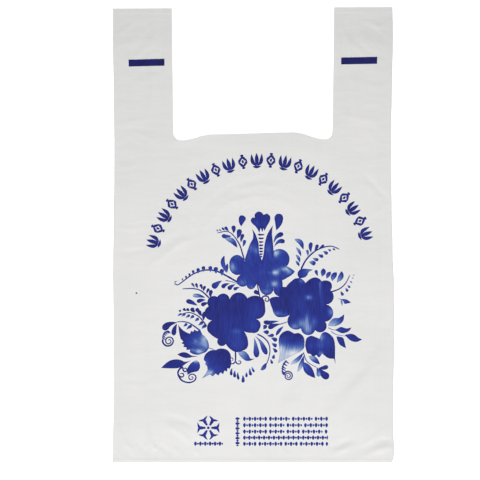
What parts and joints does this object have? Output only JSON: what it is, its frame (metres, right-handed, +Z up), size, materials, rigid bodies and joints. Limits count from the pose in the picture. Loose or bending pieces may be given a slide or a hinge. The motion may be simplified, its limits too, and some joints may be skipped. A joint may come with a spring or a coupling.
{
  "type": "plastic carrier bag",
  "caption": "Vest-type plastic film carrier bag with folded-in side gussets and two loop handles, lying flat with its printed front up.",
  "frame": {"origin": "middle of the bag's outline, on the surface it lies on", "axes": "+Y from the foot towards the handles, +X across the bag to the right as the front is seen, +Z up out of the printed front"},
  "size_m": [0.28, 0.453, 0.0046],
  "materials": {
    "film": "white blown film with a soft sheen, printed in blue on the front"
  },
  "bodies": {
    "root": {"bag": "film"}
  },
  "joints": []
}
